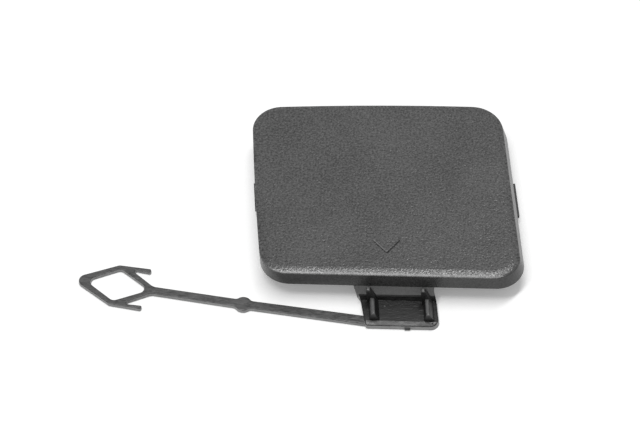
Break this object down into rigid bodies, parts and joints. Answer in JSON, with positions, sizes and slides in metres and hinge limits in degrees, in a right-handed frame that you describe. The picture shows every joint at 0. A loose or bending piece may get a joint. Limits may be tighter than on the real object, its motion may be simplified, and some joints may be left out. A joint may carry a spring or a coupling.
{
  "type": "bumper tow hook cover",
  "caption": "Moulded plastic cover for the towing eye opening of a car bumper, with a hooked tongue, side lugs and a flat captive strap ending in a barbed loop.",
  "frame": {"origin": "under the middle of the panel, on the flat plane that collar, tongue and strap rest on", "axes": "+X along the tongue edge of the panel, away from the strap; +Y away from the tongue; +Z out of the visible face"},
  "size_m": [0.1457, 0.0862, 0.0124],
  "materials": {
    "black_plastic": "unpainted black thermoplastic, fine grained on the face, smoother on walls, tongue and strap"
  },
  "bodies": {
    "root": {"tow_hook_cover": "black_plastic"}
  },
  "joints": []
}
